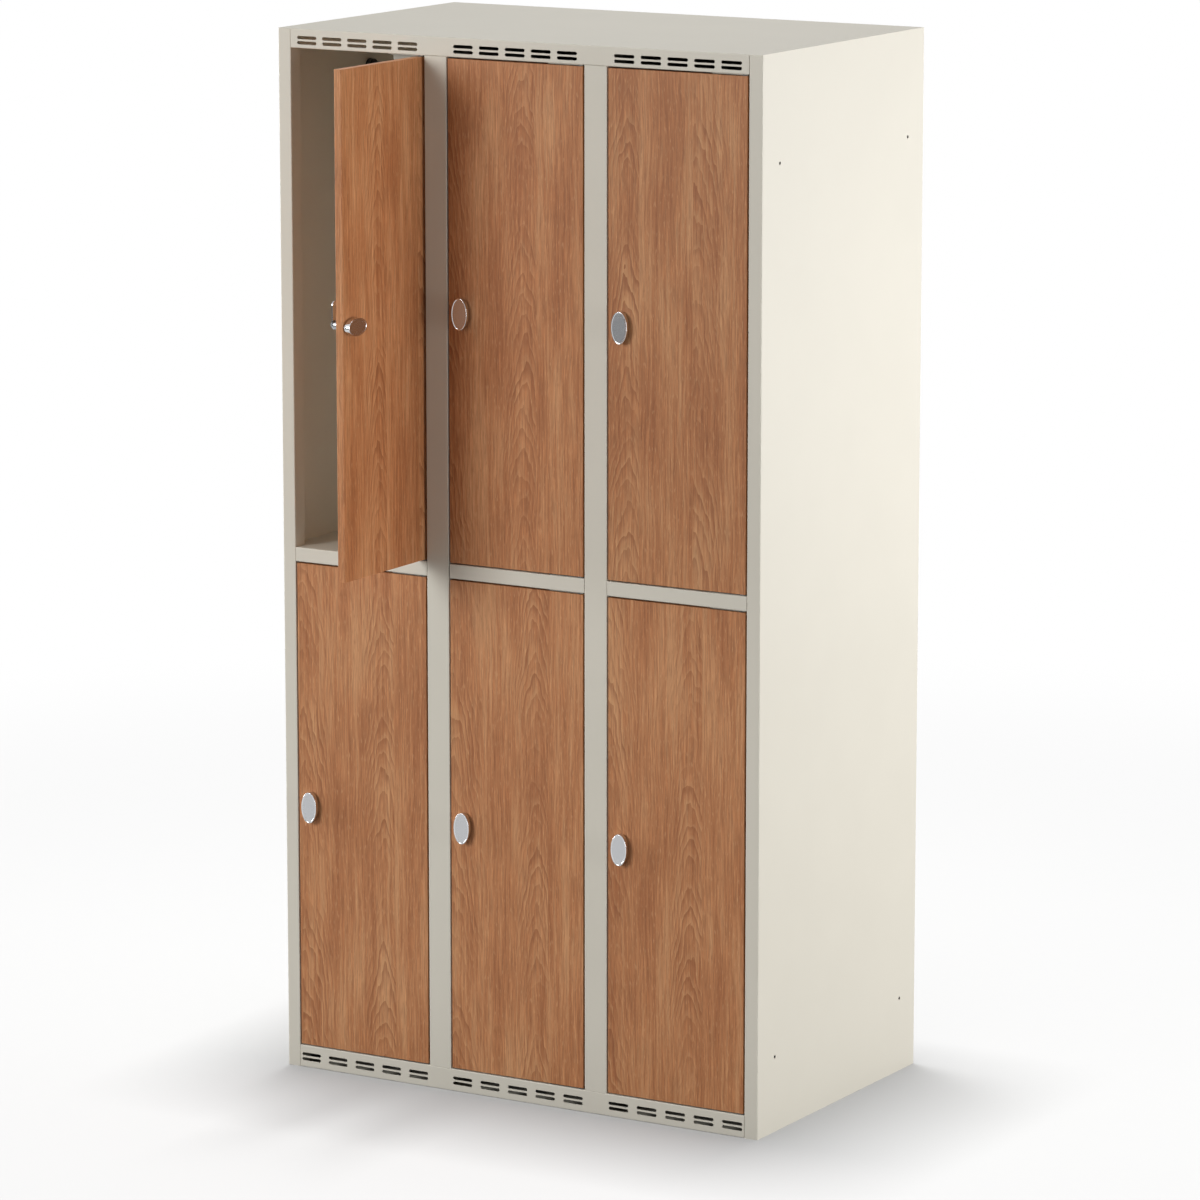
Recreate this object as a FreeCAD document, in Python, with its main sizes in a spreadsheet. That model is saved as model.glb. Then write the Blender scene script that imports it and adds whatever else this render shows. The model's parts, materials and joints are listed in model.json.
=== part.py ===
import FreeCAD, Part
import Sketcher
import math
import os
import re

# Double tier locker: a folded steel carcass with three columns of two
# compartments, flush laminate doors on pivot pins, and oval turn knobs.
# Frame: +Z up, front to -Y, origin on the floor under the middle of the carcass.
# The upper left door stands open in the rest position.

doc = FreeCAD.newDocument("DoubleTierLocker")
table = doc.addObject("Spreadsheet::Sheet", "Sizes")

sizes = (
    ("overallWidth", 900, "carcass width over the two sides"),
    ("overallHeight", 1740, "carcass height"),
    ("carcassDepth", 540, "carcass depth, front face to back face"),
    ("sheet", 1.0, "thickness of the folded steel sheet"),
    ("bendRadius", 1.8, "outside radius of a bend in the sheet"),
    ("seam", 0.2, "gap where two folded pieces butt together"),
    ("outerFace", 24, "front face width of the outer uprights"),
    ("middleFace", 42, "front face width of the middle uprights"),
    ("jambDepth", 29, "depth of the flanges that line an opening"),
    ("jambLip", 9, "lip folded in behind an upright"),
    ("backFlange", 20, "width of the flanges round the back"),
    ("partitionFlange", 12, "width of a partition's folded edges"),
    ("topRail", 31.5, "height of the rail over the upper doors"),
    ("midRail", 24, "height of the rail between the tiers"),
    ("bottomRail", 37.5, "height of the rail under the lower doors"),
    ("middleShelfGap", 1.8, "wider seam at the left end of the middle tier shelf's rail"),
    ("ventHeight", 5.4, "height of a vent slot"),
    ("ventRowPitch", 8.5, "height from one vent row to the next"),
    ("ventBridge", 11.3, "sheet left between two vents of the top rail"),
    ("topVentMargin", 12.9, "end vents of the top rail in from the opening's sides"),
    ("topVentDrop", 14.2, "upper vent row below the top of the carcass"),
    ("bottomVentMargin", 3.5, "end vents of the bottom rail in from the opening's sides"),
    ("bottomVentRise", 13.8, "lower vent row above the floor"),
    ("joinHoleRadius", 2.8, "radius of the holes that join cabinets side by side"),
    ("joinHoleFront", 57, "joining holes behind the front face"),
    ("joinHoleBack", 54.5, "joining holes before the back face"),
    ("joinHoleLow", 125, "lower joining holes above the floor"),
    ("joinHoleHigh", 173.5, "upper joining holes below the top"),
    ("doorThickness", 13, "thickness of the laminate door board"),
    ("doorGap", 2.5, "gap round a closed door"),
    ("doorEdgeRadius", 0.8, "rounding of the door board's long edges"),
    ("openAngle", 90, "how far the upper left door stands open, in degrees"),
    ("pivotInset", 8, "pivot axis in from the door's hinge edge"),
    ("pivotDepth", 6, "pivot axis behind the door's front face"),
    ("pinRadius", 3, "radius of the pivot pins"),
    ("pinInDoor", 26, "length of a pivot pin inside the door"),
    ("pinCollarRadius", 5, "radius of the collar that carries the door"),
    ("pinFit", 0.05, "radial clearance round a pin or a spindle"),
    ("bushRadius", 4.5, "outside radius of a pivot bush"),
    ("bushCollarRadius", 5.6, "radius of the bush's collar"),
    ("bushCollar", 0.6, "thickness of the bush's collar"),
    ("bushTail", 2.5, "length of a bush beyond the sheet"),
    ("bushFit", 0.1, "radial clearance of a bush in its holes"),
    ("bracketThickness", 1.2, "thickness of the pivot bracket"),
    ("bracketReach", 56, "pivot bracket from the pivot axis towards the lock side"),
    ("bracketEnd", 7.5, "pivot bracket from the pivot axis towards the hinge side"),
    ("bracketFront", 1.5, "front edge of the pivot bracket behind the front face"),
    ("stopDrop", 15, "height of the bracket's door stop leg"),
    ("stopEnd", 12, "end of the stop leg from the pivot axis"),
    ("stopGap", 0.3, "gap between a closed door and its stop"),
    ("stopChamfer", 6, "cut corner of the stop leg"),
    ("lockInset", 26, "lock axis in from the door's free edge"),
    ("knobLength", 52, "long axis of the oval knob"),
    ("knobWidth", 29, "short axis of the oval knob"),
    ("knobProud", 12, "knob face in front of the door face"),
    ("knobEdge", 1.1, "rounding of the knob's front edge"),
    ("knobRim", 2.2, "width of the raised rim on the knob's face"),
    ("knobDish", 0.4, "depth of the face inside the rim"),
    ("collarRadius", 12, "radius of the collar between knob and door"),
    ("collarThickness", 1.5, "thickness of that collar"),
    ("barrelRadius", 9, "radius of the lock barrel in the door"),
    ("barrelFit", 0.2, "radial clearance of the barrel in the door"),
    ("rearPlateWidth", 26, "width of the lock's rear plate"),
    ("rearPlateHeight", 45, "height of the lock's rear plate"),
    ("rearPlateThickness", 2, "thickness of the lock's rear plate"),
    ("rearPlateCorner", 5, "corner radius of the rear plate"),
    ("bossRadius", 7.5, "radius of the boss behind the rear plate"),
    ("spindleRadius", 4, "radius of the knob's spindle"),
    ("squareSize", 5.4, "side of the spindle's square end"),
    ("threadRadius", 2.5, "radius of the spindle's threaded end"),
    ("turnGap", 0.1, "gap between parts that turn on each other"),
    ("camPlay", 2, "gap between the jamb flange and the cam"),
    ("camThickness", 2, "thickness of the cam"),
    ("camWidth", 15, "width of the cam"),
    ("camReach", 39, "cam tip from the lock axis"),
    ("nutSize", 8, "nut across its flats"),
    ("nutHeight", 4.5, "height of the nut"),
    ("nutFlangeRadius", 6.2, "radius of the nut's flange"),
    ("nutFlange", 1.2, "thickness of the nut's flange"),
    ("railRadius", 8, "outside radius of the coat rail"),
    ("railWall", 1, "wall of the coat rail"),
    ("railPlay", 1.5, "end play of the coat rail in each end cup"),
    ("railDrop", 85, "coat rail axis below the roof"),
    ("cupRadius", 12, "radius of the coat rail's end cup"),
    ("cupDepth", 10, "depth of the end cup"),
    ("cupFloor", 2, "thickness of the end cup against the wall"),
    ("seatGap", 0.2, "gap between a seated piece and its seat"),
)

columnNames = ("left", "middle", "right")
tierNames = ("lower", "upper")
ventGroups = 5

# Sizes worked out from the driving ones. Column 0 is the left one.
derived = {
    "openingWidth": "(overallWidth - 2 * outerFace - %d * middleFace) / %d"
                    % (len(columnNames) - 1, len(columnNames)),
    "columnPitch": "openingWidth + middleFace",
    "ventLength": "(openingWidth - 2 * topVentMargin - %d * ventBridge) / %d"
                  % (ventGroups - 1, ventGroups),
    "topVentPitch": "ventLength + ventBridge",
    "bottomVentPitch": "(openingWidth - 2 * bottomVentMargin - ventLength) / %d"
                       % (ventGroups - 1),
    "tierOpening": "(overallHeight - topRail - midRail - bottomRail) / 2",
    "tierPitch": "tierOpening + midRail",
    "midBottom": "bottomRail + tierOpening",
    "midTop": "midBottom + midRail",
    "topRailBottom": "overallHeight - topRail",
    "innerBend": "bendRadius - sheet",
    "backPanelFront": "carcassDepth - 2 * sheet",
    "shelfBack": "backPanelFront - bendRadius",
    "doorWidth": "openingWidth - 2 * doorGap",
    "doorHeight": "tierOpening - 2 * doorGap",
    "pivotInOpening": "openingWidth - doorGap - pivotInset",
    "stopDepth": "doorThickness + stopGap",
    "lockX": "lockInset + pivotInset - doorWidth",
    "lockZ": "doorHeight / 2",
    "knobBack": "collarThickness + turnGap",
    "bushReach": "sheet + bushTail",
    "camFront": "jambDepth + camPlay",
    "camBack": "camFront + camThickness",
    "bossBack": "camFront - turnGap",
}

for line, (name, value, note) in enumerate(sizes, start=1):
    table.set("A%d" % line, note)
    table.set("B%d" % line, str(value))
    table.setAlias("B%d" % line, name)
doc.recompute()
sizeNames = {entry[0] for entry in sizes}


def formula(text):
    # Turns names of sizes and derived sizes into references to the table.
    def swap(match):
        word = match.group(0)
        if word in derived:
            return "(" + formula(derived[word]) + ")"
        if word in sizeNames:
            return "Sizes." + word
        return word
    return re.sub(r"[A-Za-z_]\w*", swap, str(text))


def measure(text):
    return float(table.evalExpression(formula(text)))


def bind(thing, field, text):
    thing.setExpression(field, formula(text))


def newBody(label, x="0", y="0", z="0", turn=None):
    body = doc.addObject("PartDesign::Body", label)
    body.Label = label
    if turn is not None:
        axis = FreeCAD.Vector(0, 0, 1)
        body.Placement = FreeCAD.Placement(FreeCAD.Vector(), FreeCAD.Rotation(axis, measure(turn)))
        bind(body, "Placement.Rotation.Angle", "%s * 1 deg" % turn)
    bind(body, "Placement.Base.x", "(%s) * 1 mm" % x)
    bind(body, "Placement.Base.y", "(%s) * 1 mm" % y)
    bind(body, "Placement.Base.z", "(%s) * 1 mm" % z)
    return body


def newSketch(body, name, plane, right="0", up="0", out="0", turn=None):
    # Lies on an origin plane, moved right, up and out along the plane's normal.
    sketch = body.newObject("Sketcher::SketchObject", name)
    support = [item for item in body.Origin.OriginFeatures if item.Role == plane][0]
    sketch.AttachmentSupport = [(support, "")]
    sketch.MapMode = "FlatFace"
    if turn is not None:
        axis = FreeCAD.Vector(0, 0, 1)
        spin = FreeCAD.Rotation(axis, measure(turn))
        sketch.AttachmentOffset = FreeCAD.Placement(FreeCAD.Vector(), spin)
    bind(sketch, "AttachmentOffset.Base.x", "(%s) * 1 mm" % right)
    bind(sketch, "AttachmentOffset.Base.y", "(%s) * 1 mm" % up)
    bind(sketch, "AttachmentOffset.Base.z", "(%s) * 1 mm" % out)
    return sketch


def pin(sketch, geometry, end, x, y):
    # Fixes one point of the sketch at sizes measured from its origin.
    for kind, text in (("DistanceX", x), ("DistanceY", y)):
        rule = Sketcher.Constraint(kind, -1, 1, geometry, end, measure(text))
        bind(sketch, "Constraints[%d]" % sketch.addConstraint(rule), text)


def outline(sketch, points):
    # A closed outline of straight edges through the given places.
    places = [FreeCAD.Vector(measure(x), measure(y), 0) for x, y in points]
    count = len(places)
    edges = [Part.LineSegment(places[i], places[(i + 1) % count]) for i in range(count)]
    first = sketch.addGeometry(edges)[0]
    for i in range(count):
        following = first + (i + 1) % count
        sketch.addConstraint(Sketcher.Constraint("Coincident", first + i, 2, following, 1))
    for i, (x, y) in enumerate(points):
        pin(sketch, first + i, 1, x, y)


def rectangle(sketch, left, right, low, high):
    outline(sketch, ((left, low), (right, low), (right, high), (left, high)))


def circle(sketch, x, y, radius):
    centre = FreeCAD.Vector(measure(x), measure(y), 0)
    normal = FreeCAD.Vector(0, 0, 1)
    ring = sketch.addGeometry(Part.Circle(centre, normal, measure(radius)))
    pin(sketch, ring, 3, x, y)
    rule = Sketcher.Constraint("Radius", ring, measure(radius))
    bind(sketch, "Constraints[%d]" % sketch.addConstraint(rule), radius)


def ellipse(sketch, width, height):
    # An upright oval on the sketch's origin.
    long = measure(height) / 2
    short = measure(width) / 2
    centre = FreeCAD.Vector()
    shape = Part.Ellipse(FreeCAD.Vector(0, long, 0), FreeCAD.Vector(short, 0, 0), centre)
    oval = sketch.addGeometry(shape)
    sketch.exposeInternalGeometry(oval)
    pin(sketch, oval, 3, "0", "0")
    sketch.addConstraint(Sketcher.Constraint("Vertical", oval + 1))
    for line, text in ((oval + 1, height), (oval + 2, width)):
        rule = Sketcher.Constraint("Distance", line, measure(text))
        bind(sketch, "Constraints[%d]" % sketch.addConstraint(rule), text)


def slot(sketch, x, y, length, height):
    # A level slot with round ends, its middle at x, y.
    radius = "(%s) / 2" % height
    reach = "(%s - %s) / 2" % (length, height)
    cx, cy, r, a = measure(x), measure(y), measure(radius), measure(reach)
    normal = FreeCAD.Vector(0, 0, 1)
    quarter = math.pi / 2
    left = Part.Circle(FreeCAD.Vector(cx - a, cy, 0), normal, r)
    right = Part.Circle(FreeCAD.Vector(cx + a, cy, 0), normal, r)
    upper = Part.LineSegment(FreeCAD.Vector(cx - a, cy + r, 0), FreeCAD.Vector(cx + a, cy + r, 0))
    lower = Part.LineSegment(FreeCAD.Vector(cx - a, cy - r, 0), FreeCAD.Vector(cx + a, cy - r, 0))
    first = sketch.addGeometry([
        Part.ArcOfCircle(left, quarter, 3 * quarter),
        Part.ArcOfCircle(right, 3 * quarter, 5 * quarter),
        upper,
        lower,
    ])[0]
    for line, end, arc, arcEnd in ((2, 1, 0, 1), (3, 1, 0, 2), (2, 2, 1, 2), (3, 2, 1, 1)):
        rule = Sketcher.Constraint("Tangent", first + line, end, first + arc, arcEnd)
        sketch.addConstraint(rule)
    sketch.addConstraint(Sketcher.Constraint("Equal", first, first + 1))
    pin(sketch, first, 3, "%s - %s" % (x, reach), y)
    pin(sketch, first + 1, 3, "%s + %s" % (x, reach), y)
    rule = Sketcher.Constraint("Radius", first, r)
    bind(sketch, "Constraints[%d]" % sketch.addConstraint(rule), radius)


def feature(body, kind, name, sketch, backwards=False):
    item = body.newObject("PartDesign::" + kind, name)
    item.Profile = sketch
    item.Reversed = backwards
    return item


def pad(body, name, sketch, length, backwards=False):
    item = feature(body, "Pad", name, sketch, backwards)
    bind(item, "Length", length)
    return item


def pocket(body, name, sketch, length=None, backwards=False):
    # Without a length it cuts through everything, both ways.
    item = feature(body, "Pocket", name, sketch, backwards)
    if length is None:
        item.Type = "ThroughAll"
        item.SideType = "Symmetric"
    else:
        bind(item, "Length", length)
    return item


def revolve(body, name, sketch, axis="V_Axis", kind="Revolution"):
    item = feature(body, kind, name, sketch)
    item.ReferenceAxis = (sketch, [axis])
    item.Angle = 360
    return item


def row(body, name, direction, length, count):
    item = body.newObject("PartDesign::LinearPattern", name)
    item.Direction = direction
    item.Occurrences = count
    bind(item, "Length", length)
    return item


def pattern(body, name, originals, direction, length, count):
    item = row(body, name, direction, length, count)
    item.Originals = originals
    body.Tip = item
    return item


def gridPattern(body, name, originals, rows):
    # Repeats features along each of the rows in turn.
    item = body.newObject("PartDesign::MultiTransform", name)
    item.Originals = originals
    item.Transformations = rows
    body.Tip = item
    return item


def bends(body, base, axis, outer, inner):
    # Rounds the bends of a folded sheet, given as places across the fold axis.
    for side, places, radius in (("Outer", outer, "bendRadius"), ("Inner", inner, "innerBend")):
        doc.recompute()
        wanted = [(measure(a), measure(b)) for a, b in places]
        across = [i for i in range(3) if i != axis]
        chosen = []
        for number, edge in enumerate(base.Shape.Edges, start=1):
            spot = edge.CenterOfMass
            ends = [vertex.Point for vertex in edge.Vertexes]
            if len(ends) != 2 or abs((ends[1] - ends[0])[axis]) < edge.Length - 0.01 * edge.Length:
                continue
            for a, b in wanted:
                if abs(spot[across[0]] - a) + abs(spot[across[1]] - b) < 0.01 * measure("sheet"):
                    chosen.append("Edge%d" % number)
        fillet = body.newObject("PartDesign::Fillet", base.Name + side)
        fillet.Base = (base, chosen)
        bind(fillet, "Radius", radius)
        base = fillet
    doc.recompute()
    return base


leftEdge = "-overallWidth / 2"
frontEdge = "-carcassDepth / 2"


def openingLeft(column):
    return "(outerFace + %d * columnPitch)" % column


def carcassBody(label, x="0"):
    # Measured from the carcass's front left corner on the floor.
    return newBody(label, "%s + %s" % (leftEdge, x), frontEdge)


def sidePanel(label, mirror):
    # Side, front face, jamb flange with its lip, and back flange, in one sheet.
    body = carcassBody(label, "overallWidth" if mirror else "0")
    sign = "-1 * " if mirror else ""
    profile = (
        ("0", "0"),
        ("outerFace", "0"),
        ("outerFace", "jambDepth"),
        ("(outerFace - jambLip)", "jambDepth"),
        ("(outerFace - jambLip)", "jambDepth - sheet"),
        ("(outerFace - sheet)", "jambDepth - sheet"),
        ("(outerFace - sheet)", "sheet"),
        ("sheet", "sheet"),
        ("sheet", "carcassDepth - sheet"),
        ("backFlange", "carcassDepth - sheet"),
        ("backFlange", "carcassDepth"),
        ("0", "carcassDepth"),
    )
    points = [(sign + x, y) for x, y in profile]
    sketch = newSketch(body, label + "Fold", "XY_Plane")
    outline(sketch, points)
    wall = pad(body, label + "Wall", sketch, "overallHeight - sheet")
    outer = [points[i] for i in (0, 1, 2, 11)]
    inner = [points[i] for i in (5, 6, 7, 8)]
    bends(body, wall, 2, outer, inner)
    holes = newSketch(body, label + "Holes", "YZ_Plane")
    for y in ("joinHoleFront", "carcassDepth - joinHoleBack"):
        for z in ("joinHoleLow", "overallHeight - joinHoleHigh"):
            circle(holes, y, z, "joinHoleRadius")
    pocket(body, label + "JoinHoles", holes)


def ventCuts(body, label, height, pitch):
    # Two rows of slots, in five groups over each column.
    first = "(outerFace + openingWidth / 2 - %g * %s)" % ((ventGroups - 1) / 2, pitch)
    sketch = newSketch(body, label + "Vents", "XZ_Plane")
    for offset in ("0", "ventRowPitch"):
        slot(sketch, first, "%s + %s" % (height, offset), "ventLength", "ventHeight")
    cut = pocket(body, label + "VentPair", sketch, "2 * sheet")
    along = (sketch, ["H_Axis"])
    groups = row(body, label + "Groups", along, "%d * %s" % (ventGroups - 1, pitch), ventGroups)
    last = len(columnNames) - 1
    columns = row(body, label + "Columns", along, "%d * columnPitch" % last, last + 1)
    gridPattern(body, label + "VentGrid", [cut], [groups, columns])


def bushHoles(body, label, level, upwards):
    # One hole for a pivot bush in each column, from the flange that faces the doors.
    sketch = newSketch(body, label + "Bush", "XY_Plane", out=level)
    for column in range(len(columnNames)):
        x = openingLeft(column) + " + pivotInOpening"
        circle(sketch, x, "pivotDepth", "bushRadius + bushFit")
    pocket(body, label + "BushHoles", sketch, "bushReach + seatGap", upwards)


def topPanel():
    body = carcassBody("top_panel")
    profile = (
        ("0", "topRailBottom"),
        ("jambDepth", "topRailBottom"),
        ("jambDepth", "topRailBottom + sheet"),
        ("sheet", "topRailBottom + sheet"),
        ("sheet", "overallHeight - sheet"),
        ("carcassDepth - sheet", "overallHeight - sheet"),
        ("carcassDepth - sheet", "overallHeight - backFlange"),
        ("carcassDepth", "overallHeight - backFlange"),
        ("carcassDepth", "overallHeight"),
        ("0", "overallHeight"),
    )
    sketch = newSketch(body, "TopFold", "YZ_Plane")
    outline(sketch, profile)
    roof = pad(body, "Roof", sketch, "overallWidth")
    outer = [profile[i] for i in (0, 8, 9)]
    inner = [profile[i] for i in (3, 4, 5)]
    bends(body, roof, 0, outer, inner)
    corners = newSketch(body, "TopCorners", "XZ_Plane")
    low = "overallHeight - 2 * topRail"
    high = "overallHeight - sheet"
    rectangle(corners, "-sheet", "outerFace + seam", low, high)
    rectangle(corners, "overallWidth - outerFace - seam", "overallWidth + sheet", low, high)
    pocket(body, "TopCornerCuts", corners)
    ventCuts(body, "Top", "overallHeight - topVentDrop - ventRowPitch", "topVentPitch")
    bushHoles(body, "Top", "topRailBottom", True)


def bottomPanel():
    body = carcassBody("bottom_panel")
    profile = (
        ("0", "0"),
        ("carcassDepth", "0"),
        ("carcassDepth", "backFlange"),
        ("carcassDepth - sheet", "backFlange"),
        ("carcassDepth - sheet", "sheet"),
        ("sheet", "sheet"),
        ("sheet", "bottomRail - sheet"),
        ("jambDepth", "bottomRail - sheet"),
        ("jambDepth", "bottomRail"),
        ("0", "bottomRail"),
    )
    sketch = newSketch(body, "BottomFold", "YZ_Plane", out="sheet")
    outline(sketch, profile)
    floor = pad(body, "Floor", sketch, "overallWidth - 2 * sheet")
    outer = [profile[i] for i in (0, 1, 9)]
    inner = [profile[i] for i in (4, 5, 6)]
    bends(body, floor, 0, outer, inner)
    corners = newSketch(body, "BottomCorners", "XY_Plane")
    front = ("-sheet", "jambDepth + seam")
    back = ("carcassDepth - 2 * sheet", "carcassDepth + sheet")
    for span, reach in ((front, "outerFace"), (back, "backFlange")):
        rectangle(corners, "0", "%s + seam" % reach, *span)
        rectangle(corners, "overallWidth - %s - seam" % reach, "overallWidth", *span)
    pocket(body, "BottomCornerCuts", corners)
    ventCuts(body, "Bottom", "bottomVentRise", "bottomVentPitch")
    bushHoles(body, "Bottom", "bottomRail", False)


def backPanel():
    body = carcassBody("back_panel")
    sketch = newSketch(body, "BackOutline", "XZ_Plane", out="-backPanelFront")
    rectangle(sketch, "bendRadius", "overallWidth - bendRadius",
              "bendRadius", "overallHeight - bendRadius")
    pad(body, "BackSheet", sketch, "sheet", True)


def middleUpright(label, column):
    # A lipped channel between the bottom rail and the top rail.
    centre = openingLeft(column) + " - middleFace / 2"
    body = newBody(label, "%s + %s" % (leftEdge, centre), frontEdge, "bottomRail")
    half = "middleFace / 2"
    right = (
        (half, "0"),
        (half, "jambDepth"),
        (half + " - jambLip", "jambDepth"),
        (half + " - jambLip", "jambDepth - sheet"),
        (half + " - sheet", "jambDepth - sheet"),
        (half + " - sheet", "sheet"),
    )
    left = [("-1 * (%s)" % x, y) for x, y in reversed(right)]
    profile = list(right) + left
    sketch = newSketch(body, label + "Fold", "XY_Plane")
    outline(sketch, profile)
    face = pad(body, label + "Channel", sketch, "topRailBottom - bottomRail")
    outer = [profile[i] for i in (0, 1, 10, 11)]
    inner = [profile[i] for i in (4, 5, 6, 7)]
    bends(body, face, 2, outer, inner)


def partition(label, column):
    # Runs from the upright's face to the back panel, folded at both edges.
    centre = openingLeft(column) + " - middleFace / 2"
    body = newBody(label, "%s + %s" % (leftEdge, centre), frontEdge, "sheet")
    profile = (
        ("-sheet / 2", "sheet"),
        ("partitionFlange", "sheet"),
        ("partitionFlange", "2 * sheet"),
        ("sheet / 2", "2 * sheet"),
        ("sheet / 2", "backPanelFront - sheet"),
        ("partitionFlange", "backPanelFront - sheet"),
        ("partitionFlange", "backPanelFront"),
        ("-sheet / 2", "backPanelFront"),
    )
    sketch = newSketch(body, label + "Fold", "XY_Plane")
    outline(sketch, profile)
    wall = pad(body, label + "Wall", sketch, "overallHeight - 2 * sheet")
    bends(body, wall, 2, [profile[0], profile[7]], [profile[3], profile[4]])
    notches = newSketch(body, label + "Notches", "YZ_Plane")
    rectangle(notches, "0", "jambDepth + seam", "-sheet", "bottomRail - sheet + seam")
    rectangle(notches, "0", "jambDepth + seam", "topRailBottom - sheet - seam", "overallHeight")
    pocket(body, label + "RailNotches", notches)


def tierShelf(label, column):
    # Floor of an upper compartment, folded down at the front into the middle rail.
    last = len(columnNames) - 1
    wallSide = "outerFace - sheet"
    partitionSide = "(middleFace - sheet) / 2"
    leftReach = wallSide if column == 0 else partitionSide
    rightReach = wallSide if column == last else partitionSide
    leftSeam = "middleShelfGap" if 0 < column < last else "seam"
    x = "%s + %s" % (leftEdge, openingLeft(column))
    body = newBody(label, x, frontEdge, "midBottom")
    profile = (
        ("0", "0"),
        ("jambDepth", "0"),
        ("jambDepth", "sheet"),
        ("sheet", "sheet"),
        ("sheet", "midRail - sheet"),
        ("shelfBack - sheet", "midRail - sheet"),
        ("shelfBack - sheet", "midRail - backFlange"),
        ("shelfBack", "midRail - backFlange"),
        ("shelfBack", "midRail"),
        ("0", "midRail"),
    )
    sketch = newSketch(body, label + "Fold", "YZ_Plane", out="seatGap - (%s)" % leftReach)
    outline(sketch, profile)
    length = "openingWidth + %s + %s - 2 * seatGap" % (leftReach, rightReach)
    deck = pad(body, label + "Deck", sketch, length)
    outer = [profile[i] for i in (0, 8, 9)]
    inner = [profile[i] for i in (3, 4, 5)]
    bends(body, deck, 0, outer, inner)
    corners = newSketch(body, label + "Corners", "XY_Plane")
    span = ("-sheet", "jambDepth + seam")
    rectangle(corners, "-outerFace", leftSeam, *span)
    rectangle(corners, "openingWidth - seam", "openingWidth + outerFace", *span)
    pocket(body, label + "CornerCuts", corners)
    bush = newSketch(body, label + "Bush", "XY_Plane")
    circle(bush, "pivotInOpening", "pivotDepth", "bushRadius + bushFit")
    pocket(body, label + "BushHoles", bush)


def pivotLevels():
    # Each level that carries a pivot, and which way the door lies from it.
    return (
        ("bottomRail", "1"),
        ("midBottom", "-1"),
        ("midTop", "1"),
        ("topRailBottom", "-1"),
    )


def pivotBrackets():
    # Angles on the rails: a flat leg round the bush and a leg that stops the door.
    x = "%s + %s + pivotInOpening" % (leftEdge, openingLeft(0))
    body = newBody("pivot_brackets", x, frontEdge)
    fold = newSketch(body, "BracketFold", "YZ_Plane", out="-bracketReach")
    trim = newSketch(body, "BracketTrim", "YZ_Plane", out="-stopEnd")
    corner = newSketch(body, "BracketCorner", "XZ_Plane")
    holes = newSketch(body, "BracketBush", "XY_Plane")
    back = "stopDepth + bracketThickness"
    for level, way in pivotLevels():
        near = "%s + %s * bracketThickness" % (level, way)
        far = "%s + %s * stopDrop" % (level, way)
        outline(fold, (
            ("bracketFront", level),
            ("bracketFront", near),
            ("stopDepth", near),
            ("stopDepth", far),
            (back, far),
            (back, level),
        ))
        outline(trim, (
            ("stopDepth - sheet", near),
            (back + " + sheet", near),
            (back + " + sheet", far + " + %s * sheet" % way),
            ("stopDepth - sheet", far + " + %s * sheet" % way),
        ))
        outline(corner, (
            ("-bracketReach", far),
            ("-bracketReach + stopChamfer", far),
            ("-bracketReach", "%s - %s * stopChamfer" % (far, way)),
        ))
    angles = pad(body, "BracketAngles", fold, "bracketReach + bracketEnd")
    ends = pocket(body, "BracketEnds", trim, "stopEnd + 2 * bracketEnd", True)
    chamfers = pocket(body, "BracketChamfers", corner)
    circle(holes, "0", "pivotDepth", "bushRadius + bushFit")
    bores = pocket(body, "BracketBores", holes, "topRailBottom + sheet", True)
    last = len(columnNames) - 1
    originals = [angles, ends, chamfers, bores]
    along = (holes, ["H_Axis"])
    pattern(body, "BracketColumns", originals, along, "%d * columnPitch" % last, last + 1)


def pivotBushes():
    # A collared bush at both ends of every door, all turned on one axis.
    x = "%s + %s + pivotInOpening" % (leftEdge, openingLeft(0))
    body = newBody("pivot_bushes", x, "%s + pivotDepth" % frontEdge)
    sketch = newSketch(body, "BushSection", "XZ_Plane")
    for level, way in pivotLevels():
        seat = "%s + %s * bracketThickness" % (level, way)
        outline(sketch, (
            ("pinRadius + pinFit", "%s + %s * bushCollar" % (seat, way)),
            ("bushCollarRadius", "%s + %s * bushCollar" % (seat, way)),
            ("bushCollarRadius", seat),
            ("bushRadius", seat),
            ("bushRadius", "%s - %s * bushReach" % (level, way)),
            ("pinRadius + pinFit", "%s - %s * bushReach" % (level, way)),
        ))
    turned = revolve(body, "BushTurned", sketch)
    last = len(columnNames) - 1
    along = (sketch, ["H_Axis"])
    pattern(body, "BushColumns", [turned], along, "%d * columnPitch" % last, last + 1)


railLevel = "overallHeight - railDrop - tierPitch"


def columnWalls(column):
    # Inner faces of the two walls of a column, from the carcass's left side.
    opening = openingLeft(column)
    inUpright = "(middleFace - sheet) / 2"
    left = "sheet" if column == 0 else "%s - %s" % (opening, inUpright)
    isLast = column == len(columnNames) - 1
    right = "%s + openingWidth + %s" % (opening, "outerFace - sheet" if isLast else inUpright)
    return left, right


def coatRails():
    body = newBody("coat_rails", leftEdge, "0", railLevel)
    sketch = newSketch(body, "RailSection", "XZ_Plane")
    for column in range(len(columnNames)):
        left, right = columnWalls(column)
        start = "%s + cupFloor + railPlay" % left
        end = "%s - cupFloor - railPlay" % right
        rectangle(sketch, start, end, "railRadius - railWall", "railRadius")
    tubes = revolve(body, "RailTubes", sketch, "H_Axis")
    pattern(body, "RailTiers", [tubes], (sketch, ["V_Axis"]), "tierPitch", len(tierNames))


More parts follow.
